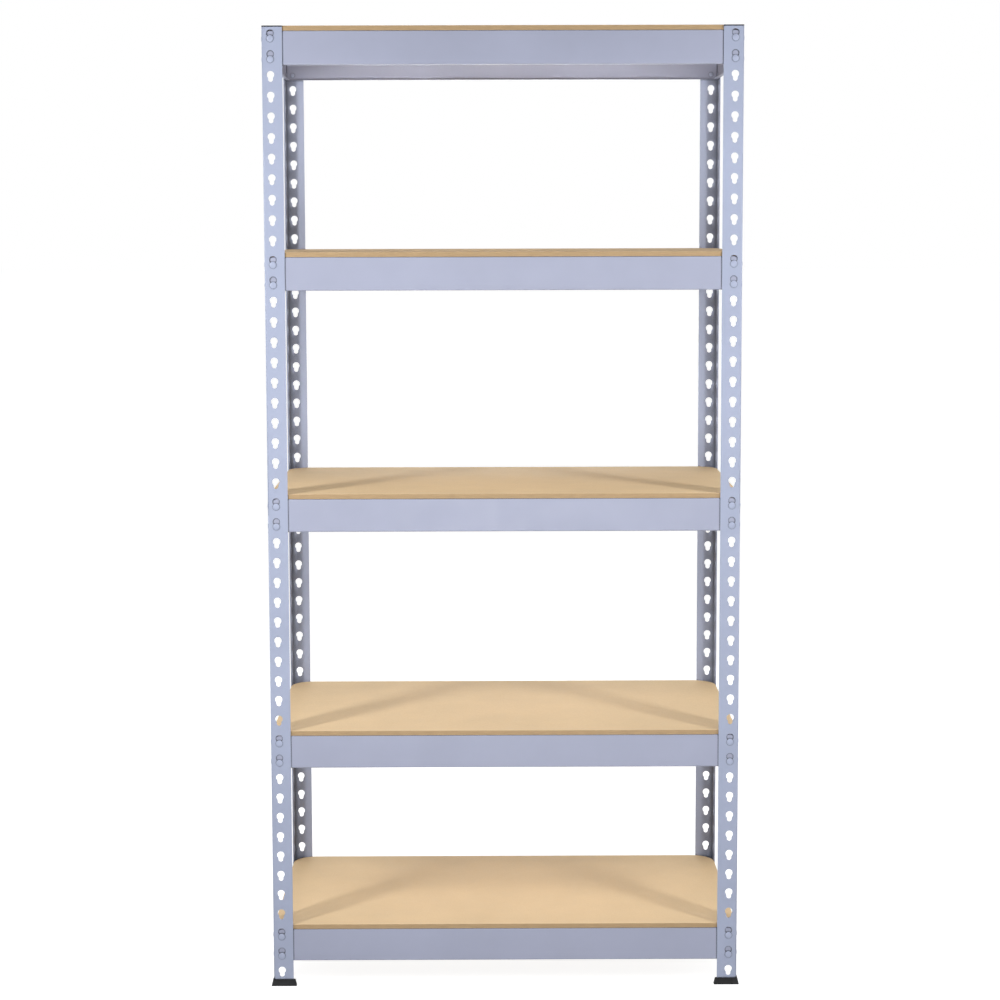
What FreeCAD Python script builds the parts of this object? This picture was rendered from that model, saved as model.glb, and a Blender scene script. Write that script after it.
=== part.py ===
import FreeCAD, Part
import os

import Sketcher

# Five-tier boltless shelving: folded-angle uprights in two halves, beams hung on
# them by rivets in keyholes, loose boards, flared feet and thin end caps.
# Frame: +Z up, +X along the shelves, the front faces -Y. The origin is on the
# floor in the middle of the unit.

document = FreeCAD.newDocument("BoltlessShelving")

# ---------------------------------------------------------------- sizes, mm
SIZES = (
    ("width", 896, "across the outer faces of the uprights"),
    ("depth", 446, "front to rear across the outer faces of the uprights"),
    ("pitch", 38.1, "keyhole spacing"),
    ("keyholes", 24, "keyholes down one flange of an upright half"),
    ("flange", 38, "width of each flange of an upright"),
    ("upright_sheet", 1.5, "steel of the uprights"),
    ("beam_sheet", 1.2, "steel of the beams"),
    ("bend", 1, "inner radius of every fold"),
    ("keyhole_inset", 16, "outer corner of an upright to the middle of a keyhole"),
    ("keyhole_top", 11.8, "upper end of an upright half to the first keyhole's middle"),
    ("keyhole_eye", 13.8, "across the round upper part of a keyhole"),
    ("keyhole_slot", 9, "across the narrow lower part of a keyhole"),
    ("keyhole_drop", 8.7, "middle of the eye down to the middle of the slot's end"),
    ("rivet_head", 12.8, "across a rivet's head"),
    ("rivet_rise", 2, "height of a rivet's head"),
    ("rivet_taper", 38, "slope of the head's rim, degrees"),
    ("rivet_shank", 7.2, "across a rivet's shank"),
    ("rivet_tail", 1.4, "shank end past the inside of the beam"),
    ("rivet_seat", 0.1, "gap under a seated shank"),
    ("rivet_fit", 0.1, "gap round a shank in its beam"),
    ("beam_over", 14.6, "upper rivet to the top of the beam"),
    ("beam_under", 10.4, "lower rivet to the bottom of the beam"),
    ("beam_ledge", 15, "top ledge, which carries the board"),
    ("beam_return", 10, "bottom return"),
    ("beam_gap", 2.8, "end of a beam to the inside of the upright"),
    ("beam_setback", 0.4, "working gap between the upright's sheet and the beam"),
    ("beam_notch", 20, "ledge and return cut back from the beam's end"),
    ("board_sheet", 9, "thickness of a board"),
    ("board_gap", 0.6, "edge of a board to the inside of the uprights"),
    ("board_corner", 45, "corner radius of a board"),
    ("foot_height", 12.5, "height of a foot"),
    ("foot_floor", 4, "plastic under the end of the upright"),
    ("foot_flare", 4.6, "foot past the upright's faces, at the ground"),
    ("foot_toe", 6.1, "foot past the flanges' edges, at the ground"),
    ("foot_taper", 12.6, "slope of a foot's sides, degrees"),
    ("foot_fit", 0.2, "gap round the upright in its foot"),
    ("cap_sheet", 2.3, "thickness of an end cap"),
    ("cap_lug", 7, "across the lug under a cap"),
    ("cap_lug_drop", 5.5, "height of the lug"),
    ("cap_fit", 0.2, "gap between the lug and the upright"),
)
sheet = document.addObject("Spreadsheet::Sheet", "Sizes")
for row, (alias, size, note) in enumerate(SIZES, start=1):
    sheet.set(f"A{row}", note)
    sheet.set(f"B{row}", str(size))
    sheet.setAlias(f"B{row}", alias)
document.recompute()

# Sizes that follow from the driving ones
HALF_LENGTH = "(Sizes.keyholes * Sizes.pitch)"
UPRIGHT_TOP = f"(Sizes.foot_floor + 2 * {HALF_LENGTH})"
SLOT_END = "(Sizes.keyhole_drop + Sizes.keyhole_slot / 2)"
SEAT_DROP = f"(Sizes.keyhole_top + {SLOT_END} - Sizes.rivet_shank / 2 - Sizes.rivet_seat)"
BEAM_HEIGHT = "(Sizes.beam_under + Sizes.pitch + Sizes.beam_over)"
BEAM_CLEAR = "(Sizes.upright_sheet + Sizes.beam_gap)"
BEAM_FACE = "(Sizes.upright_sheet + Sizes.beam_setback)"
RIVET_INSET = f"(Sizes.keyhole_inset - {BEAM_CLEAR})"
BOARD_CLEAR = "(Sizes.upright_sheet + Sizes.board_gap)"

# A tier hangs by two keyholes, counted from the top of the upright: the first is
# given here, the next one down takes the lower rivet. The middle tier's rivets
# lie one in each half and so hold the halves in line.
TIERS = (("tier_1", 45), ("tier_2", 35), ("tier_3", 23), ("tier_4", 11), ("tier_5", 0))

# Each corner: its name, its side in x and y, and the turn of the upright
CORNERS = (
    ("front_left", -1, -1, 0),
    ("front_right", 1, -1, 90),
    ("rear_right", 1, 1, 180),
    ("rear_left", -1, 1, 270),
)

# Each side: its name, its outward direction in x and y, and the turn of the beam
SIDES = (
    ("front", 0, -1, 0),
    ("right", 1, 0, 90),
    ("rear", 0, 1, 180),
    ("left", -1, 0, 270),
)

# An octagon's half side is this part of its half width across the flats
OCTAGON = "0.41421356"


# ------------------------------------------------------------------ helpers
def new_body(name):
    return document.addObject("PartDesign::Body", name)


def new_sketch(body, name, plane, height=None):
    """A sketch on one of the body's own origin planes, at a height above it."""
    sketch = body.newObject("Sketcher::SketchObject", name)
    for feature in body.Origin.OriginFeatures:
        if feature.Role == plane:
            sketch.AttachmentSupport = [(feature, "")]
    sketch.MapMode = "FlatFace"
    if height:
        sketch.setExpression("AttachmentOffset.Base.z", height)
    return sketch


def add_outline(sketch, corners):
    """A closed outline whose corners are held at pairs of expressions."""
    points = []
    for across, up in corners:
        x = float(sheet.evalExpression(across))
        y = float(sheet.evalExpression(up))
        points.append(FreeCAD.Vector(x, y, 0))
    lines = []
    for start, end in zip(points, points[1:] + points[:1]):
        lines.append(sketch.addGeometry(Part.LineSegment(start, end)))
    for line, following in zip(lines, lines[1:] + lines[:1]):
        sketch.addConstraint(Sketcher.Constraint("Coincident", line, 2, following, 1))
    for line, point, (across, up) in zip(lines, points, corners):
        fixed_x = sketch.addConstraint(Sketcher.Constraint("DistanceX", -1, 1, line, 1, point.x))
        sketch.setExpression(f"Constraints[{fixed_x}]", across)
        fixed_y = sketch.addConstraint(Sketcher.Constraint("DistanceY", -1, 1, line, 1, point.y))
        sketch.setExpression(f"Constraints[{fixed_y}]", up)


def rectangle(left, right, bottom, top):
    return ((left, bottom), (right, bottom), (right, top), (left, top))


def octagon(across, middle_x, middle_y):
    """The corners of an octagon of a width across its flats, round a middle."""
    far = f"{across} / 2"
    near = f"{across} / 2 * {OCTAGON}"
    steps = (
        (near, far, 1, 1),
        (far, near, 1, 1),
        (far, near, 1, -1),
        (near, far, 1, -1),
        (near, far, -1, -1),
        (far, near, -1, -1),
        (far, near, -1, 1),
        (near, far, -1, 1),
    )
    corners = []
    for x, y, side, height in steps:
        corners.append((f"{middle_x} + {side} * ({x})", f"{middle_y} + {height} * ({y})"))
    return corners


def pad(body, name, sketch, length, reverse=False, midplane=False, taper=None):
    feature = body.newObject("PartDesign::Pad", name)
    feature.Profile = sketch
    feature.setExpression("Length", length)
    feature.Reversed = reverse
    feature.Midplane = midplane
    if taper:
        feature.setExpression("TaperAngle", taper)
    document.recompute()
    return feature


def pocket(body, name, sketch, length, reverse=False, midplane=False):
    """A cut that is refused when it takes nothing away."""
    before = body.Tip.Shape.Volume
    feature = body.newObject("PartDesign::Pocket", name)
    feature.Profile = sketch
    feature.setExpression("Length", length)
    feature.Reversed = reverse
    feature.Midplane = midplane
    document.recompute()
    if feature.Shape.Volume >= before:
        raise ValueError(f"{name} cuts nothing")
    return feature


def round_edges(body, name, radius, wanted):
    """Rounds each edge of the body's tip that the test function accepts."""
    base = body.Tip
    names = []
    for number, edge in enumerate(base.Shape.Edges, start=1):
        if wanted(edge):
            names.append(f"Edge{number}")
    feature = body.newObject("PartDesign::Fillet", name)
    feature.Base = (base, names)
    feature.setExpression("Radius", radius)
    document.recompute()
    return feature


def edge_along(direction, *places):
    """A test for edges that run along a direction through one of some points."""

    def test(edge):
        start = edge.Vertexes[0].Point
        end = edge.Vertexes[-1].Point
        along = (end - start).normalize()
        if abs(abs(along.dot(direction)) - 1) > 1e-6:
            return False
        for place in places:
            offset = start - place
            across = offset - direction * offset.dot(direction)
            if across.Length < 1e-3:
                return True
        return False

    return test


def size(expression):
    return float(sheet.evalExpression(expression))


def place(thing, label, x, y, z, turn=0):
    """Gives a piece its name and its place, which follows the sizes."""
    thing.Label = label
    thing.Placement = FreeCAD.Placement(
        FreeCAD.Vector(0, 0, 0), FreeCAD.Rotation(FreeCAD.Vector(0, 0, 1), turn)
    )
    thing.setExpression("Placement.Base.x", x)
    thing.setExpression("Placement.Base.y", y)
    thing.setExpression("Placement.Base.z", z)
    return thing


def copy_of(body):
    link = document.addObject("App::Link", "Copy")
    link.LinkedObject = body
    return link


AXIS_X = FreeCAD.Vector(1, 0, 0)
AXIS_Z = FreeCAD.Vector(0, 0, 1)


# ------------------------------------------------------------ upright halves
# One half of an upright stands on its lower end with its outer corner on the
# origin and its flanges along +X and +Y.
def angle_outline(reach, sheet_size, margin="0", toe="0"):
    """An L round the folded angle, a margin outside it and a toe past its ends."""
    outer = f"-({margin})"
    inner = f"{sheet_size} + {margin}"
    end = f"{reach} + {toe}"
    return (
        (outer, outer),
        (end, outer),
        (end, inner),
        (inner, inner),
        (inner, end),
        (outer, end),
    )


def keyhole_outline():
    """An eye with flat sides that opens down into a slot with cut corners."""
    eye = "Sizes.keyhole_eye / 2"
    eye_near = f"Sizes.keyhole_eye / 2 * {OCTAGON}"
    slot = "Sizes.keyhole_slot / 2"
    slot_near = f"Sizes.keyhole_slot / 2 * {OCTAGON}"
    middle = "(Sizes.pitch - Sizes.keyhole_top)"
    waist = f"{middle} - (1 + {OCTAGON}) * {eye} + {slot}"
    end = f"{middle} - {SLOT_END}"
    right = (
        (eye_near, f"{middle} + {eye}"),
        (eye, f"{middle} + {eye_near}"),
        (eye, f"{middle} - {eye_near}"),
        (slot, waist),
        (slot, f"{end} + {slot} - {slot_near}"),
        (slot_near, end),
    )
    corners = []
    for across, up in right:
        corners.append((f"Sizes.keyhole_inset + {across}", up))
    for across, up in reversed(right):
        corners.append((f"Sizes.keyhole_inset - {across}", up))
    return corners


def punch_flange(body, name, plane, reverse):
    """A column of keyholes down one flange, from the lowest one up."""
    sketch = new_sketch(body, f"{name}_outline", plane)
    add_outline(sketch, keyhole_outline())
    first = pocket(body, f"{name}_lowest", sketch, "Sizes.upright_sheet + Sizes.bend", reverse)
    solid_before = first.BaseFeature.Shape.Volume
    cut_by_one = solid_before - first.Shape.Volume
    column = body.newObject("PartDesign::LinearPattern", name)
    column.Originals = [first]
    column.Direction = (sketch, ["V_Axis"])
    column.setExpression("Length", "(Sizes.keyholes - 1) * Sizes.pitch")
    column.setExpression("Occurrences", "Sizes.keyholes")
    body.Tip = column
    document.recompute()
    cut_by_all = solid_before - column.Shape.Volume
    if abs(cut_by_all / cut_by_one - size("Sizes.keyholes")) > 1e-3:
        raise ValueError(f"{name} misses keyholes")


upright_half = new_body("upright_half")
profile = new_sketch(upright_half, "upright_profile", "XY_Plane")
add_outline(profile, angle_outline("Sizes.flange", "Sizes.upright_sheet"))
pad(upright_half, "upright_sheet_metal", profile, HALF_LENGTH)
round_edges(
    upright_half,
    "upright_outer_fold",
    "Sizes.bend + Sizes.upright_sheet",
    edge_along(AXIS_Z, FreeCAD.Vector(0, 0, 0)),
)
inside = size("Sizes.upright_sheet")
round_edges(
    upright_half,
    "upright_inner_fold",
    "Sizes.bend",
    edge_along(AXIS_Z, FreeCAD.Vector(inside, inside, 0)),
)
punch_flange(upright_half, "long_side_keyholes", "XZ_Plane", False)
punch_flange(upright_half, "short_side_keyholes", "YZ_Plane", True)


# --------------------------------------------------------------------- beams
# A beam lies along X with its outer face on y = 0, its ledge and return towards
# +Y and its lower edge on z = 0.
def make_beam(name, span):
    """A folded beam between two uprights whose outer faces are a span apart."""
    body = new_body(name)
    length = f"({span} - 2 * {BEAM_CLEAR})"
    web = "Sizes.beam_sheet"
    top = BEAM_HEIGHT
    section = new_sketch(body, f"{name}_section", "YZ_Plane")
    add_outline(
        section,
        (
            ("0", "0"),
            ("Sizes.beam_return", "0"),
            ("Sizes.beam_return", web),
            (web, web),
            (web, f"{top} - {web}"),
            ("Sizes.beam_ledge", f"{top} - {web}"),
            ("Sizes.beam_ledge", top),
            ("0", top),
        ),
    )
    pad(body, f"{name}_sheet_metal", section, length, midplane=True)
    height = size(top)
    thick = size(web)
    round_edges(
        body,
        f"{name}_outer_folds",
        "Sizes.bend + Sizes.beam_sheet",
        edge_along(AXIS_X, FreeCAD.Vector(0, 0, 0), FreeCAD.Vector(0, 0, height)),
    )
    round_edges(
        body,
        f"{name}_inner_folds",
        "Sizes.bend",
        edge_along(
            AXIS_X,
            FreeCAD.Vector(0, thick, thick),
            FreeCAD.Vector(0, thick, height - thick),
        ),
    )
    notches = new_sketch(body, f"{name}_notches", "XY_Plane")
    reach = "Sizes.beam_ledge + Sizes.beam_return"
    fold = f"{web} + Sizes.bend"
    for side in (-1, 1):
        end = f"{side} * {length} / 2"
        start = f"{side} * ({length} / 2 - Sizes.beam_notch)"
        outline = rectangle(start, end, fold, reach)
        add_outline(notches, outline)
    pocket(body, f"{name}_notched", notches, f"3 * {top}", midplane=True)
    holes = new_sketch(body, f"{name}_rivet_holes", "XZ_Plane")
    across = "(Sizes.rivet_shank + 2 * Sizes.rivet_fit)"
    for side in (-1, 1):
        for rivet in (0, 1):
            middle_x = f"{side} * ({length} / 2 - {RIVET_INSET})"
            middle_y = f"Sizes.beam_under + {rivet} * Sizes.pitch"
            add_outline(holes, octagon(across, middle_x, middle_y))
    pocket(body, f"{name}_pierced", holes, "Sizes.beam_sheet + Sizes.bend")
    return body


long_beam = make_beam("long_beam", "Sizes.width")
short_beam = make_beam("short_beam", "Sizes.depth")

# --------------------------------------------------------------------- rivet
# A rivet's axis is Y: its head stands out from y = 0 towards -Y, its shank runs
# through the upright and the beam towards +Y.
rivet = new_body("rivet")
head = new_sketch(rivet, "rivet_head_outline", "XZ_Plane")
add_outline(head, octagon("Sizes.rivet_head", "0", "0"))
pad(rivet, "rivet_head", head, "Sizes.rivet_rise", taper="-Sizes.rivet_taper")
shank = new_sketch(rivet, "rivet_shank_outline", "XZ_Plane")
add_outline(shank, octagon("Sizes.rivet_shank", "0", "0"))
grip = "Sizes.upright_sheet + Sizes.beam_setback + Sizes.beam_sheet + Sizes.rivet_tail"
pad(rivet, "rivet_shank", shank, grip, reverse=True)

# --------------------------------------------------------------------- board
board = new_body("board")
board_outline = new_sketch(board, "board_outline", "XY_Plane")
half_x = f"(Sizes.width / 2 - {BOARD_CLEAR})"
half_y = f"(Sizes.depth / 2 - {BOARD_CLEAR})"
add_outline(board_outline, rectangle(f"-{half_x}", half_x, f"-{half_y}", half_y))
pad(board, "board_panel", board_outline, "Sizes.board_sheet")
corner_x = size(half_x)
corner_y = size(half_y)
round_edges(
    board,
    "board_corners",
    "Sizes.board_corner",
    edge_along(
        AXIS_Z,
        FreeCAD.Vector(-corner_x, -corner_y, 0),
        FreeCAD.Vector(corner_x, -corner_y, 0),
        FreeCAD.Vector(-corner_x, corner_y, 0),
        FreeCAD.Vector(corner_x, corner_y, 0),
    ),
)

# ---------------------------------------------------------------------- foot
# A flared shoe that follows the angle, with a slot that the steel stands in.
foot = new_body("foot")
tread = new_sketch(foot, "foot_tread", "XY_Plane")
add_outline(
    tread,
    angle_outline("Sizes.flange", "Sizes.upright_sheet", "Sizes.foot_flare", "Sizes.foot_toe"),
)
pad(foot, "foot_block", tread, "Sizes.foot_height", taper="-Sizes.foot_taper")
socket = new_sketch(foot, "foot_socket_outline", "XY_Plane", height="Sizes.foot_floor")
add_outline(
    socket,
    angle_outline("Sizes.flange", "Sizes.upright_sheet", "Sizes.foot_fit", "Sizes.foot_fit"),
)
pocket(foot, "foot_socket", socket, "Sizes.foot_height", reverse=True)
socket_corner = size("Sizes.upright_sheet + Sizes.foot_fit")
round_edges(
    foot,
    "foot_socket_fold",
    "Sizes.bend - Sizes.foot_fit",
    edge_along(AXIS_Z, FreeCAD.Vector(socket_corner, socket_corner, 0)),
)

# ----------------------------------------------------------------------- cap
# A thin plate on the end of the angle. It stops short of the top board's round
# corner, and a lug under it drops into the fold.
cap = new_body("cap")
cap_outline = new_sketch(cap, "cap_outline", "XY_Plane")
add_outline(cap_outline, rectangle("0", "Sizes.flange", "0", "Sizes.flange"))
pad(cap, "cap_plate", cap_outline, "Sizes.cap_sheet")
round_edges(
    cap,
    "cap_outer_corner",
    "Sizes.bend + Sizes.upright_sheet",
    edge_along(AXIS_Z, FreeCAD.Vector(0, 0, 0)),
)
board_middle = f"({BOARD_CLEAR} + Sizes.board_corner)"
cap_cut = new_sketch(cap, "cap_board_clearance", "XY_Plane")
centre = size(board_middle)
reach_in = size("Sizes.board_corner + Sizes.board_gap")
round_cut = cap_cut.addGeometry(
    Part.Circle(FreeCAD.Vector(centre, centre, 0), FreeCAD.Vector(0, 0, 1), reach_in)
)
for kind, value, expression in (
    ("DistanceX", centre, board_middle),
    ("DistanceY", centre, board_middle),
):
    index = cap_cut.addConstraint(Sketcher.Constraint(kind, -1, 1, round_cut, 3, value))
    cap_cut.setExpression(f"Constraints[{index}]", expression)
index = cap_cut.addConstraint(Sketcher.Constraint("Radius", round_cut, reach_in))
cap_cut.setExpression(f"Constraints[{index}]", "Sizes.board_corner + Sizes.board_gap")
pocket(cap, "cap_round_cut", cap_cut, "3 * Sizes.cap_sheet", midplane=True)
lug = new_sketch(cap, "cap_lug_outline", "XY_Plane")
lug_near = "Sizes.upright_sheet + Sizes.bend + Sizes.cap_fit"
lug_far = f"{lug_near} + Sizes.cap_lug"
add_outline(lug, rectangle(lug_near, lug_far, lug_near, lug_far))
pad(cap, "cap_lug", lug, "Sizes.cap_lug_drop", reverse=True)

# ------------------------------------------------------------------ assembly
pieces = []
for corner, side_x, side_y, turn in CORNERS:
    x = f"{side_x} * Sizes.width / 2"
    y = f"{side_y} * Sizes.depth / 2"
    lower_z = "Sizes.foot_floor"
    upper_z = f"Sizes.foot_floor + {HALF_LENGTH}"
    pieces.append(place(copy_of(upright_half), f"upright_lower_{corner}", x, y, lower_z, turn))
    pieces.append(place(copy_of(upright_half), f"upright_upper_{corner}", x, y, upper_z, turn))
    pieces.append(place(copy_of(foot), f"foot_{corner}", x, y, "0", turn))
    pieces.append(place(copy_of(cap), f"cap_{corner}", x, y, UPRIGHT_TOP, turn))

for tier, keyhole in TIERS:
    upper_rivet = f"({UPRIGHT_TOP} - {SEAT_DROP} - {keyhole} * Sizes.pitch)"
    lower_rivet = f"({upper_rivet} - Sizes.pitch)"
    beam_bottom = f"{lower_rivet} - Sizes.beam_under"
    board_bottom = f"{upper_rivet} + Sizes.beam_over"
    rivets = []
    for side, out_x, out_y, turn in SIDES:
        beam = long_beam if out_x == 0 else short_beam
        x = f"{out_x} * (Sizes.width / 2 - {BEAM_FACE})"
        y = f"{out_y} * (Sizes.depth / 2 - {BEAM_FACE})"
        pieces.append(place(copy_of(beam), f"{tier}_{side}_beam", x, y, beam_bottom, turn))
        for end in (-1, 1):
            along_x = f"{end * abs(out_y)} * (Sizes.width / 2 - Sizes.keyhole_inset)"
            along_y = f"{end * abs(out_x)} * (Sizes.depth / 2 - Sizes.keyhole_inset)"
            x = f"{out_x} * Sizes.width / 2 + {along_x}"
            y = f"{out_y} * Sizes.depth / 2 + {along_y}"
            for height in (upper_rivet, lower_rivet):
                name = f"{tier}_{side}_rivet"
                rivets.append(place(copy_of(rivet), name, x, y, height, turn))
    group = document.addObject("Part::Compound", "Rivets")
    group.Links = rivets
    group.Label = f"{tier}_rivets"
    pieces.append(group)
    pieces.append(place(copy_of(board), f"{tier}_board", "0", "0", board_bottom))

document.recompute()

# ------------------------------------------------------------------- writing
for thing in document.Objects:
    for fault in ("Invalid", "Error"):
        if fault in thing.State:
            raise ValueError(f"{thing.Label} is {fault}")
shapes = {}
for piece in pieces:
    shape = Part.getShape(piece)
    if shape.isNull() or not shape.isValid():
        raise ValueError(f"{piece.Label} has no valid shape")
    shapes[piece.Label] = shape
os.makedirs("parts", exist_ok=True)
for label, shape in shapes.items():
    shape.exportStep(os.path.join("parts", f"{label}.step"))
print(f"{len(shapes)} pieces written")
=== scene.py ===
import math

import bmesh
import bpy
from mathutils import Matrix, Vector


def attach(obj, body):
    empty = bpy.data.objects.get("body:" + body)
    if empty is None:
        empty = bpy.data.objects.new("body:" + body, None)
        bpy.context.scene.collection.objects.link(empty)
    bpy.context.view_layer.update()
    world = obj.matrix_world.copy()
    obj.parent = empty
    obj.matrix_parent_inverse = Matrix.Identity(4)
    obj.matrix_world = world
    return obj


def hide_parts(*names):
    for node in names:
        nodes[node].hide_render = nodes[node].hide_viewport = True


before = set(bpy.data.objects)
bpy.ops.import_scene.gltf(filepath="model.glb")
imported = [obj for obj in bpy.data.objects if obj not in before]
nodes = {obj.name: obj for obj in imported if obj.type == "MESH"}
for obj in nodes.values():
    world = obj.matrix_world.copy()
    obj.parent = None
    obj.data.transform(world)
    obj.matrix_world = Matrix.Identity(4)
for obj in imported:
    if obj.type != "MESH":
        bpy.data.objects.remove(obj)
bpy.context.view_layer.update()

MM = 0.001
scene = bpy.context.scene

# ------------------------------------------------------------- node helpers
NOISE_RANGE = (0.3, 0.7)
UNIT_RANGE = (0.0, 1.0)


def new_material(name):
    """A material that holds only its Principled shader and its output."""
    material = bpy.data.materials.new(name)
    material.use_nodes = True
    tree = material.node_tree
    tree.nodes.clear()
    output = tree.nodes.new("ShaderNodeOutputMaterial")
    shader = tree.nodes.new("ShaderNodeBsdfPrincipled")
    tree.links.new(shader.outputs["BSDF"], output.inputs["Surface"])
    return material, tree, shader


def noise(tree, vector, scale, detail=4.0, roughness=0.55):
    """Noise of this many waves in a metre."""
    node = tree.nodes.new("ShaderNodeTexNoise")
    node.inputs["Scale"].default_value = scale
    node.inputs["Detail"].default_value = detail
    node.inputs["Roughness"].default_value = roughness
    tree.links.new(vector, node.inputs["Vector"])
    return node.outputs["Fac"]


def remap(tree, value, source, target):
    """Takes the source range of a value to the target range, each low and high."""
    node = tree.nodes.new("ShaderNodeMapRange")
    node.inputs["From Min"].default_value, node.inputs["From Max"].default_value = source
    node.inputs["To Min"].default_value, node.inputs["To Max"].default_value = target
    tree.links.new(value, node.inputs["Value"])
    return node.outputs["Result"]


def full_range(tree, value, target):
    """Stretches the usual range of a noise over all of the target range."""
    return remap(tree, value, NOISE_RANGE, target)


def mix(tree, factor, first, second):
    """Mixes two colours by a socket. Each is a colour tuple or a socket."""
    node = tree.nodes.new("ShaderNodeMix")
    node.data_type = "RGBA"
    factor_input, first_input, second_input = node.inputs[0], node.inputs[6], node.inputs[7]
    tree.links.new(factor, factor_input)
    for socket, colour in ((first_input, first), (second_input, second)):
        if isinstance(colour, tuple):
            socket.default_value = (*colour, 1.0)
        else:
            tree.links.new(colour, socket)
    return node.outputs[2]


def shaded(colour, share):
    """The colour times a share, for each channel or for all, and no more than 1."""
    shares = share if isinstance(share, tuple) else (share, share, share)
    return tuple(min(channel * part, 1.0) for channel, part in zip(colour, shares))


def bump(tree, shader, height, strength, distance):
    node = tree.nodes.new("ShaderNodeBump")
    node.inputs["Strength"].default_value = strength
    node.inputs["Distance"].default_value = distance
    tree.links.new(height, node.inputs["Height"])
    tree.links.new(node.outputs["Normal"], shader.inputs["Normal"])


def object_space(tree, stretch=(1, 1, 1)):
    """Coordinates in metres that are fixed to the piece, stretched by axis."""
    coordinates = tree.nodes.new("ShaderNodeTexCoord")
    mapping = tree.nodes.new("ShaderNodeMapping")
    mapping.inputs["Scale"].default_value = stretch
    tree.links.new(coordinates.outputs["Object"], mapping.inputs["Vector"])
    return mapping.outputs["Vector"]


def crevice(tree, distance, closeness, own_piece_only):
    """From 0 in a crevice of about this width to 1 on open faces."""
    node = tree.nodes.new("ShaderNodeAmbientOcclusion")
    node.inputs["Distance"].default_value = distance
    node.only_local = own_piece_only
    node.samples = 8
    return remap(tree, node.outputs["AO"], closeness, UNIT_RANGE)


def seen(tree):
    """1 for camera, glossy and transmission rays, and 0 for the light on the object."""
    paths = tree.nodes.new("ShaderNodeLightPath")
    total = paths.outputs["Is Camera Ray"]
    for kind in ("Is Glossy Ray", "Is Transmission Ray"):
        node = tree.nodes.new("ShaderNodeMath")
        node.operation = "MAXIMUM"
        tree.links.new(total, node.inputs[0])
        tree.links.new(paths.outputs[kind], node.inputs[1])
        total = node.outputs[0]
    return total


# ---------------------------------------------------------------- materials
CREVICE_WIDTH = 3.2 * MM
FOLD_WIDTH = 45 * MM
DUST = (0.030, 0.030, 0.033)


def powder_coat(name, colour, fold_shade=0.0):
    """Satin powder coat with orange peel, blotches and specks. Shade is painted
    dark into crevices, and fold_shade paints shade on the inside of the piece's own fold."""
    material, tree, shader = new_material(name)
    space = object_space(tree)
    blotch = full_range(tree, noise(tree, space, scale=7.0, detail=3.0), UNIT_RANGE)
    base = mix(tree, blotch, shaded(colour, 0.955), shaded(colour, 1.03))
    specks = noise(tree, space, scale=900.0, detail=2.0)
    speck = remap(tree, specks, (0.66, 0.74), (0.0, 0.22))
    base = mix(tree, speck, base, shaded(colour, 0.72))
    # Painted shade: the colour goes nearly black where ambient occlusion finds a crevice, around rivet
    # heads, in keyhole eyes and between parts.
    crevice_shade_mask = crevice(tree, CREVICE_WIDTH, (0.46, 0.96), own_piece_only=False)
    base = mix(tree, crevice_shade_mask, shaded(colour, 0.06), base)
    if fold_shade:
        outside = crevice(tree, FOLD_WIDTH, (0.45, 0.85), own_piece_only=True)
        base = mix(tree, outside, shaded(colour, 1 - fold_shade), base)
    tree.links.new(base, shader.inputs["Base Color"])
    smear = noise(tree, space, scale=26.0, detail=5.0, roughness=0.6)
    tree.links.new(full_range(tree, smear, (0.36, 0.50)), shader.inputs["Roughness"])
    peel = noise(tree, space, scale=420.0, detail=2.0, roughness=0.5)
    bump(tree, shader, peel, strength=0.10, distance=0.6 * MM)
    return material


def lies_flat(tree):
    """1 where the surface faces up or down, 0 where it stands upright."""
    geometry = tree.nodes.new("ShaderNodeNewGeometry")
    split = tree.nodes.new("ShaderNodeSeparateXYZ")
    tree.links.new(geometry.outputs["True Normal"], split.inputs["Vector"])
    steepness = tree.nodes.new("ShaderNodeMath")
    steepness.operation = "ABSOLUTE"
    tree.links.new(split.outputs["Z"], steepness.inputs[0])
    return remap(tree, steepness.outputs[0], (0.3, 0.8), UNIT_RANGE)


def fibreboard(name, face, edge_colour):
    """Pressed board: mottled short fibres on the faces, darker layered sides."""
    material, tree, shader = new_material(name)
    space = object_space(tree)
    grain_space = object_space(tree, (1.0, 2.2, 1.0))
    cloud = full_range(tree, noise(tree, space, scale=5.0, detail=4.0), UNIT_RANGE)
    face_colour = mix(tree, cloud, shaded(face, 0.93), shaded(face, 1.05))
    fibres = noise(tree, grain_space, scale=380.0, detail=6.0, roughness=0.7)
    fibre = remap(tree, fibres, (0.42, 0.66), (0.0, 0.38))
    face_colour = mix(tree, fibre, face_colour, shaded(face, (0.78, 0.72, 0.62)))
    flakes = noise(tree, grain_space, scale=150.0, detail=3.0, roughness=0.6)
    flake = remap(tree, flakes, (0.62, 0.72), (0.0, 0.30))
    face_colour = mix(tree, flake, face_colour, shaded(face, 1.16))
    layers = object_space(tree, (0.05, 0.05, 1.0))
    plies = noise(tree, layers, scale=900.0, detail=3.0)
    layer = remap(tree, plies, (0.35, 0.65), (0.0, 0.6))
    side_colour = mix(tree, layer, edge_colour, shaded(edge_colour, 0.72))
    colour = mix(tree, lies_flat(tree), side_colour, face_colour)
    tree.links.new(colour, shader.inputs["Base Color"])
    rough = noise(tree, grain_space, scale=60.0, detail=4.0)
    tree.links.new(full_range(tree, rough, (0.62, 0.78)), shader.inputs["Roughness"])
    shader.inputs["Specular IOR Level"].default_value = 0.28
    nap = noise(tree, grain_space, scale=500.0, detail=5.0, roughness=0.7)
    bump(tree, shader, nap, strength=0.25, distance=0.6 * MM)
    return material


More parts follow.
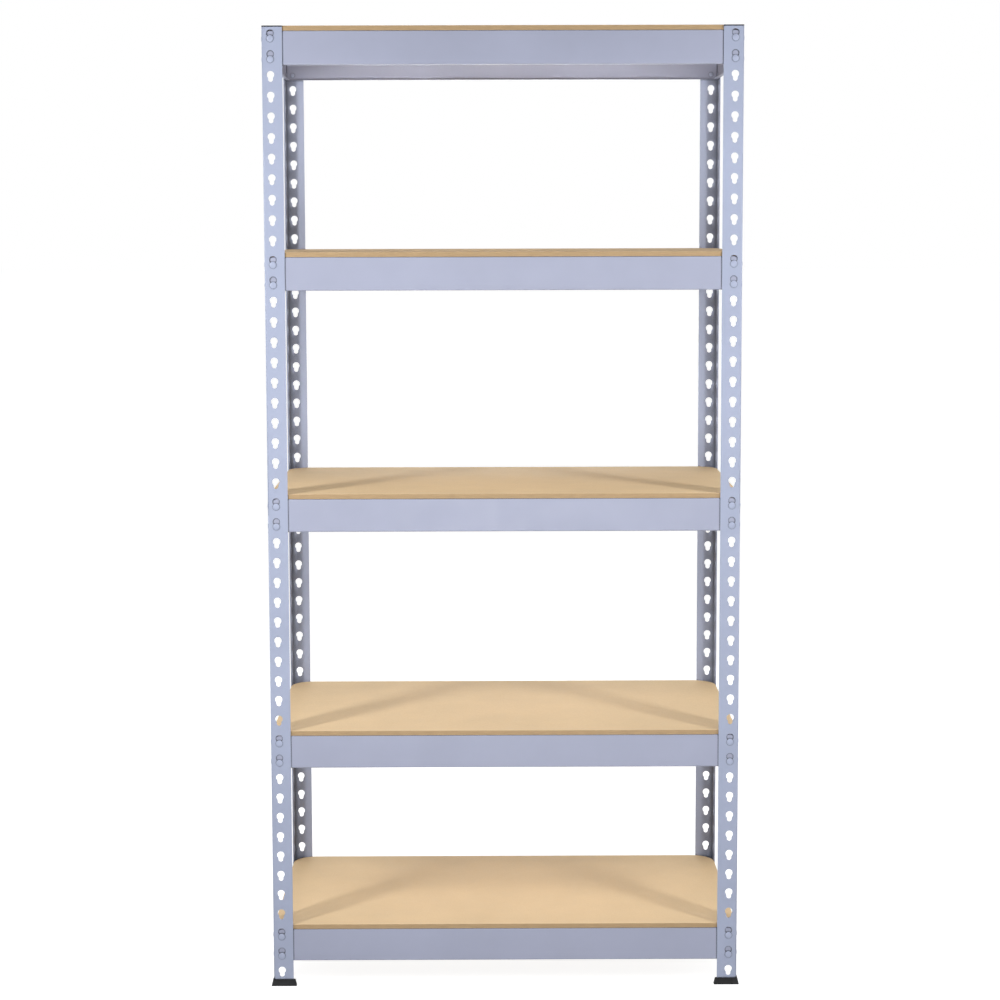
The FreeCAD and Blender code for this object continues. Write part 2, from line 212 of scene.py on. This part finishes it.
def moulded_plastic(name, colour):
    """Matt black moulding with a fine spark texture and dusty patches."""
    material, tree, shader = new_material(name)
    space = object_space(tree)
    patches = noise(tree, space, scale=60.0, detail=5.0, roughness=0.6)
    dust = remap(tree, patches, (0.5, 0.75), (0.0, 0.35))
    tree.links.new(mix(tree, dust, colour, DUST), shader.inputs["Base Color"])
    rough = noise(tree, space, scale=180.0, detail=3.0)
    tree.links.new(full_range(tree, rough, (0.45, 0.62)), shader.inputs["Roughness"])
    shader.inputs["Specular IOR Level"].default_value = 0.2
    spark = noise(tree, space, scale=1500.0, detail=2.0)
    bump(tree, shader, spark, strength=0.2, distance=0.3 * MM)
    return material


upright_paint = powder_coat("upright_paint", (0.375, 0.418, 0.560), fold_shade=0.72)
beam_paint = powder_coat("beam_paint", (0.370, 0.394, 0.519))
# The dark coat on the uprights' bevelled rims is painted shade that outlines their edges and keyholes.
rim_shade_paint = powder_coat("rim_shade_paint", (0.160, 0.175, 0.235))
rivet_paint = powder_coat("rivet_paint", (0.395, 0.440, 0.590))
board_material = fibreboard("board_fibre", (0.910, 0.690, 0.420), (0.52, 0.36, 0.20))
plastic = moulded_plastic("foot_plastic", (0.006, 0.006, 0.007))

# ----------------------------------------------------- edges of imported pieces
SAME_POINT = 0.01 * MM
FLAT_WITHIN = math.radians(2)
SHARP_OVER = math.radians(50)
KEYHOLE_CORNER = math.radians(45)
KEYHOLE_MARGIN = math.radians(10)
KEYHOLE_ROUNDING = 1.8 * MM
UPRIGHT_RIM = 0.35 * MM
BEAM_RIM = 0.25 * MM
BOARD_RIM = 0.6 * MM
PLASTIC_RIM = 0.4 * MM


def geometry_tree(name):
    """An empty geometry node tree, with the nodes at its two ends."""
    tree = bpy.data.node_groups.new(name, "GeometryNodeTree")
    for way in ("INPUT", "OUTPUT"):
        tree.interface.new_socket("Geometry", in_out=way, socket_type="NodeSocketGeometry")
    source = tree.nodes.new("NodeGroupInput")
    result = tree.nodes.new("NodeGroupOutput")
    return tree, source, result


def joined_faces():
    """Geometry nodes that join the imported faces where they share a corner."""
    tree, source, result = geometry_tree("join_faces")
    weld = tree.nodes.new("GeometryNodeMergeByDistance")
    weld.inputs["Distance"].default_value = SAME_POINT
    plain = tree.nodes.new("GeometryNodeRemoveAttribute")
    plain.inputs["Name"].default_value = "custom_normal"
    tree.links.new(source.outputs[0], weld.inputs["Geometry"])
    tree.links.new(weld.outputs[0], plain.inputs["Geometry"])
    tree.links.new(plain.outputs[0], result.inputs[0])
    return tree


def marked_corners():
    """Geometry nodes that weigh the edges at keyhole corners for a bevel."""
    tree, source, result = geometry_tree("mark_hole_corners")
    fold = tree.nodes.new("GeometryNodeInputMeshEdgeAngle")
    near = tree.nodes.new("FunctionNodeCompare")
    near.data_type = "FLOAT"
    near.operation = "EQUAL"
    near.inputs["B"].default_value = KEYHOLE_CORNER
    near.inputs["Epsilon"].default_value = KEYHOLE_MARGIN
    tree.links.new(fold.outputs["Unsigned Angle"], near.inputs["A"])
    store = tree.nodes.new("GeometryNodeStoreNamedAttribute")
    store.data_type = "FLOAT"
    store.domain = "EDGE"
    store.inputs["Name"].default_value = "bevel_weight_edge"
    tree.links.new(source.outputs[0], store.inputs["Geometry"])
    tree.links.new(near.outputs[0], store.inputs["Value"])
    tree.links.new(store.outputs[0], result.inputs[0])
    return tree


joined = joined_faces()
marked = marked_corners()


def add_bevel(thing, name, width, segments, limit):
    bevel = thing.modifiers.new(name, "BEVEL")
    bevel.width = width
    bevel.segments = segments
    bevel.limit_method = limit
    return bevel


def soften(thing, width, segments=1, round_holes=False, rim_material=0):
    """Rounds sharp edges as a press or a sander leaves them, and keyhole corners."""
    thing.modifiers.new("join_faces", "NODES").node_group = joined
    flat = thing.modifiers.new("flat_faces", "DECIMATE")
    flat.decimate_type = "DISSOLVE"
    flat.angle_limit = FLAT_WITHIN
    if round_holes:
        thing.modifiers.new("hole_corners", "NODES").node_group = marked
        add_bevel(thing, "round_corners", KEYHOLE_ROUNDING, 3, "WEIGHT")
    rim = add_bevel(thing, "rim", width, segments, "ANGLE")
    rim.angle_limit = SHARP_OVER
    rim.material = rim_material


def paint(thing, *materials):
    thing.data.materials.clear()
    for material in materials:
        thing.data.materials.append(material)


for name in nodes:
    thing = bpy.data.objects[name]
    if name.endswith("_board"):
        paint(thing, board_material)
        soften(thing, BOARD_RIM, segments=2)
    elif name.startswith(("foot_", "cap_")):
        paint(thing, plastic)
        soften(thing, PLASTIC_RIM, segments=2)
    elif name.endswith("_rivets"):
        paint(thing, rivet_paint)
    elif name.endswith("_beam"):
        paint(thing, beam_paint)
        soften(thing, BEAM_RIM)
    else:
        # The uprights' bevelled rims take the second material, a dark painted shade along edges and
        # keyholes.
        paint(thing, upright_paint, rim_shade_paint)
        soften(thing, UPRIGHT_RIM, round_holes=True, rim_material=1)

# ------------------------------------------------------------------- rivets
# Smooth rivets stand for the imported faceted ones: a low dome, a shank and a
# clinched tail behind the beam. The shares are of the sizes they stand beside.
DOME_SIDES = 28
DOME_STEPS = 7
HEAD_RISE = 2.0 * MM
DOME_RIM_HEIGHT = HEAD_RISE * 0.38
DOME_HEIGHT = HEAD_RISE * 0.62
LIP_HEIGHT = HEAD_RISE * 0.12
SEAT_SHARE = 0.96
SHANK_RADIUS = 3.6 * MM
TAIL_RADIUS = SHANK_RADIUS * 1.22
TAIL_LENGTH = 1.3 * MM
TAIL_SHOULDER = TAIL_LENGTH * 0.6
CRISP_OVER = math.radians(60)
UPWARD = Vector((0, 0, 1))


def loose_parts(mesh):
    """The corner points of each separate solid in a mesh."""
    solids = bmesh.new()
    solids.from_mesh(mesh)
    bmesh.ops.remove_doubles(solids, verts=solids.verts, dist=0.001 * MM)
    unseen = set(solids.verts)
    parts = []
    while unseen:
        open_set = [unseen.pop()]
        part = []
        while open_set:
            corner = open_set.pop()
            part.append(corner.co.copy())
            for edge in corner.link_edges:
                other = edge.other_vert(corner)
                if other in unseen:
                    unseen.remove(other)
                    open_set.append(other)
        parts.append(part)
    solids.free()
    return parts


def rivet_profile(radius, grip):
    """Radius and height from the crown of the head to the end of the tail."""
    profile = [(0.0, HEAD_RISE)]
    for step in range(1, DOME_STEPS + 1):
        swing = math.radians(90 * step / DOME_STEPS)
        height = DOME_RIM_HEIGHT + DOME_HEIGHT * math.cos(swing)
        profile.append((radius * math.sin(swing), height))
    profile.append((radius, LIP_HEIGHT))
    profile.append((radius * SEAT_SHARE, 0.0))
    profile.append((SHANK_RADIUS, 0.0))
    profile.append((SHANK_RADIUS, -grip))
    profile.append((TAIL_RADIUS, -grip))
    profile.append((TAIL_RADIUS, -grip - TAIL_SHOULDER))
    profile.append((SHANK_RADIUS, -grip - TAIL_LENGTH))
    profile.append((0.0, -grip - TAIL_LENGTH))
    return profile


def add_rivet(mesh, seat, outward, profile):
    """Turns the profile round the rivet's axis, from its seat on the upright."""
    across = outward.cross(UPWARD).normalized()
    rings = []
    for radius, height in profile:
        middle = seat + outward * height
        if radius == 0.0:
            rings.append([mesh.verts.new(middle)])
            continue
        ring = []
        for side in range(DOME_SIDES):
            angle = 2 * math.pi * side / DOME_SIDES
            spoke = across * math.cos(angle) + UPWARD * math.sin(angle)
            ring.append(mesh.verts.new(middle + spoke * radius))
        rings.append(ring)
    for upper, lower in zip(rings, rings[1:]):
        for side in range(DOME_SIDES):
            after = (side + 1) % DOME_SIDES
            corners = [upper[side % len(upper)], lower[side % len(lower)]]
            for corner in (lower[after % len(lower)], upper[after % len(upper)]):
                if corner not in corners:
                    corners.append(corner)
            mesh.faces.new(corners).smooth = True


def add_matching_rivet(mesh, part):
    """Makes a smooth rivet in the place and size of an imported one."""
    low = Vector([min(point[k] for point in part) for k in range(3)])
    high = Vector([max(point[k] for point in part) for k in range(3)])
    size = high - low
    middle = (low + high) / 2
    axis = 0 if size[0] < size[1] else 1
    outward = Vector((0, 0, 0))
    outward[axis] = 1 if middle[axis] > 0 else -1
    crown = high[axis] if outward[axis] > 0 else low[axis]
    seat = middle.copy()
    seat[axis] = crown - outward[axis] * HEAD_RISE
    head_radius = size[2] / 2
    grip = size[axis] - HEAD_RISE - TAIL_LENGTH
    add_rivet(mesh, seat, outward, rivet_profile(head_radius, grip))


for name in sorted(nodes):
    if not name.endswith("_rivets"):
        continue
    mesh = bmesh.new()
    for part in loose_parts(bpy.data.objects[name].data):
        add_matching_rivet(mesh, part)
    bmesh.ops.recalc_face_normals(mesh, faces=mesh.faces)
    data = bpy.data.meshes.new(f"{name}_domed")
    mesh.to_mesh(data)
    mesh.free()
    data.materials.append(rivet_paint)
    rivets = bpy.data.objects.new(f"{name}_domed", data)
    scene.collection.objects.link(rivets)
    crisp = rivets.modifiers.new("crisp_rim", "EDGE_SPLIT")
    crisp.split_angle = CRISP_OVER
    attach(rivets, "frame")
    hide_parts(name)

# --------------------------------------------------------------------- floor
FLOOR_REACH = 60.0
FLOOR_GREY = (0.5, 0.5, 0.5, 1)
FLOOR_GLOW = 0.88


def floor_paint():
    """A pale matt floor that keeps shadows and reads as white to the camera."""
    material = bpy.data.materials.new("floor_white")
    material.use_nodes = True
    tree = material.node_tree
    tree.nodes.clear()
    output = tree.nodes.new("ShaderNodeOutputMaterial")
    matt = tree.nodes.new("ShaderNodeBsdfDiffuse")
    matt.inputs["Color"].default_value = FLOOR_GREY
    glow = tree.nodes.new("ShaderNodeEmission")
    strength = remap(tree, seen(tree), UNIT_RANGE, (0.0, FLOOR_GLOW))
    tree.links.new(strength, glow.inputs["Strength"])
    both = tree.nodes.new("ShaderNodeAddShader")
    tree.links.new(matt.outputs[0], both.inputs[0])
    tree.links.new(glow.outputs[0], both.inputs[1])
    tree.links.new(both.outputs[0], output.inputs["Surface"])
    return material


floor_corners = [
    (-FLOOR_REACH, -FLOOR_REACH, 0),
    (FLOOR_REACH, -FLOOR_REACH, 0),
    (FLOOR_REACH, FLOOR_REACH, 0),
    (-FLOOR_REACH, FLOOR_REACH, 0),
]
floor_mesh = bpy.data.meshes.new("floor")
floor_mesh.from_pydata(floor_corners, [], [(0, 1, 2, 3)])
floor_mesh.materials.append(floor_paint())
floor = bpy.data.objects.new("floor", floor_mesh)
scene.collection.objects.link(floor)

# --------------------------------------------------------------------- world
# A white backdrop to the camera. On the object it is dim from the front and
# full from behind, where it rises over this range of the ray's forward part.
FORWARD_PART = (0.2, 0.95)
AMBIENT = (0.10, 1.0)

world = bpy.data.worlds.new("studio")
scene.world = world
world.use_nodes = True
tree = world.node_tree
tree.nodes.clear()
output = tree.nodes.new("ShaderNodeOutputWorld")
background = tree.nodes.new("ShaderNodeBackground")
background.inputs["Color"].default_value = (1, 1, 1, 1)
ray = tree.nodes.new("ShaderNodeTexCoord")
way = tree.nodes.new("ShaderNodeSeparateXYZ")
tree.links.new(ray.outputs["Generated"], way.inputs["Vector"])
ambient = remap(tree, way.outputs["Y"], FORWARD_PART, AMBIENT)
shown = tree.nodes.new("ShaderNodeMix")
tree.links.new(seen(tree), shown.inputs["Factor"])
tree.links.new(ambient, shown.inputs[2])
shown.inputs[3].default_value = 1.0
tree.links.new(shown.outputs[0], background.inputs["Strength"])
tree.links.new(background.outputs[0], output.inputs["Surface"])

# --------------------------------------------------------------------- lamps
# Two tall side keys give the posts their brighter tone. The others fill the
# boards, the bay under the top tier, the top, the sides and the back.


def softbox(name, place, target, size, watts, spread=180):
    """A rectangular lamp that the camera doesn't see, its spread in degrees."""
    data = bpy.data.lights.new(name, "AREA")
    data.spread = math.radians(spread)
    data.shape = "RECTANGLE"
    data.size, data.size_y = size
    data.energy = watts
    lamp = bpy.data.objects.new(name, data)
    scene.collection.objects.link(lamp)
    lamp.location = place
    lamp.rotation_mode = "QUATERNION"
    aim = Vector(target) - Vector(place)
    lamp.rotation_quaternion = aim.to_track_quat("-Z", "Y")
    lamp.visible_camera = False


softbox("left_key", place=(-1.3, -1.2, 1.6), target=(-0.25, -0.1, 1.1), size=(0.2, 0.9), watts=15.5)
softbox("right_key", place=(1.3, -1.2, 1.6), target=(0.25, -0.1, 1.1), size=(0.2, 0.9), watts=13)
softbox("high", place=(-0.15, -2.6, 2.1), target=(0, 0, 0.08), size=(0.7, 0.5), watts=1.9, spread=64)
softbox("front", place=(0, -3.6, 0.6), target=(0, 0, 0.55), size=(0.9, 0.9), watts=30)
softbox("under_top", place=(0, -0.9, 1.3), target=(0, 0.22, 1.79), size=(0.7, 0.1), watts=0.19, spread=22)
softbox("overhead", place=(0, 0.05, 3.5), target=(0, 0.05, 1.8), size=(1.2, 0.8), watts=16)
softbox("left_side", place=(-2.6, 0.1, 1.0), target=(0, 0, 0.9), size=(0.8, 1.2), watts=9)
softbox("right_side", place=(2.6, 0.1, 1.0), target=(0, 0, 0.9), size=(0.8, 1.2), watts=9)
softbox("rear", place=(0, 2.9, 0.9), target=(0, 0, 0.9), size=(1.0, 1.0), watts=13)

# -------------------------------------------------------------------- camera
# The photo's viewpoint. Lens and sensor are in mm. The axis of the lens meets
# the picture above its middle, by this share of the picture's width.
LENS = 76.33512
SENSOR = 36.0
AXIS_ABOVE_MIDDLE = 0.07
CAMERA_PLACE = (-0.02073, -4.20891, 1.47380)
PITCH = math.radians(5.6364)
YAW = math.radians(0.1912)
ROLL = math.radians(-0.1545)

ahead = Vector((math.sin(YAW), math.cos(YAW), 0))
level_right = Vector((math.cos(YAW), -math.sin(YAW), 0))
forward = ahead * math.cos(PITCH) - UPWARD * math.sin(PITCH)
level_up = ahead * math.sin(PITCH) + UPWARD * math.cos(PITCH)
right = level_right * math.cos(ROLL) + level_up * math.sin(ROLL)
up = level_up * math.cos(ROLL) - level_right * math.sin(ROLL)

camera_data = bpy.data.cameras.new("camera")
camera_data.sensor_fit = "HORIZONTAL"
camera_data.sensor_width = SENSOR
camera_data.lens = LENS
camera_data.shift_y = -AXIS_ABOVE_MIDDLE
camera_data.clip_start = 0.05
camera_data.clip_end = 200
camera = bpy.data.objects.new("camera", camera_data)
scene.collection.objects.link(camera)
turn = Matrix((right, up, -forward)).transposed().to_4x4()
camera.matrix_world = Matrix.Translation(CAMERA_PLACE) @ turn
scene.camera = camera

scene.view_settings.view_transform = "Standard"
